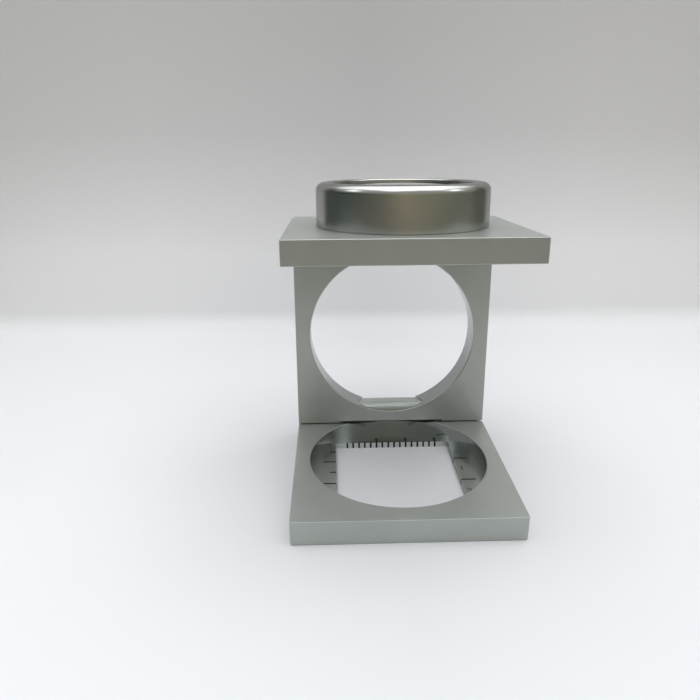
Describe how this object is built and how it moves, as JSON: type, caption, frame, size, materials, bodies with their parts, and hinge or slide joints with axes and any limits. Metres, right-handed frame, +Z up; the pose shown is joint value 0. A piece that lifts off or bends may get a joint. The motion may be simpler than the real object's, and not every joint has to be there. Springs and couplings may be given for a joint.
{
  "type": "folding viewing loupe",
  "caption": "Three-leaf folding loupe: square foot with a graduated window, upright with a round opening and a top leaf with a round lens cell, on two pinned hinges.",
  "frame": {"origin": "on the surface that the base stands on, under the middle of the open object's box", "axes": "+Z up and along the height, +X to the user's right along both hinge pins, +Y away from the user towards the upright"},
  "size_m": [0.0318, 0.0372, 0.0454],
  "materials": {
    "cast_alloy": "fine satin cast alloy",
    "turned_barrel": "turned and lightly polished",
    "hinge_steel": "bright drawn steel",
    "lens_glass": "polished",
    "black_ring": "matte black"
  },
  "bodies": {
    "base": {"base_frame": "cast_alloy"},
    "upright": {"upright_frame": "cast_alloy", "bottom_hinge_pin": "hinge_steel", "top_hinge_pin": "hinge_steel", "bottom_washer_left": "hinge_steel", "bottom_washer_right": "hinge_steel", "top_washer_left": "hinge_steel", "top_washer_right": "hinge_steel"},
    "lens_plate": {"lens_frame": "cast_alloy", "lens_barrel": "turned_barrel", "upper_lens": "lens_glass", "lens_spacer": "black_ring", "lower_lens": "lens_glass", "retaining_ring": "black_ring"}
  },
  "joints": [
    {"name": "upright_fold", "type": "hinge", "parent": "base", "child": "upright", "pos_m": [0, 0.01113, 0.00547], "axis": [1, 0, 0], "range_deg": [0, 93]},
    {"name": "lens_fold", "type": "hinge", "parent": "upright", "child": "lens_plate", "pos_m": [0, 0.01747, 0.03661], "axis": [-1, 0, 0], "range_deg": [0, 270]}
  ]
}
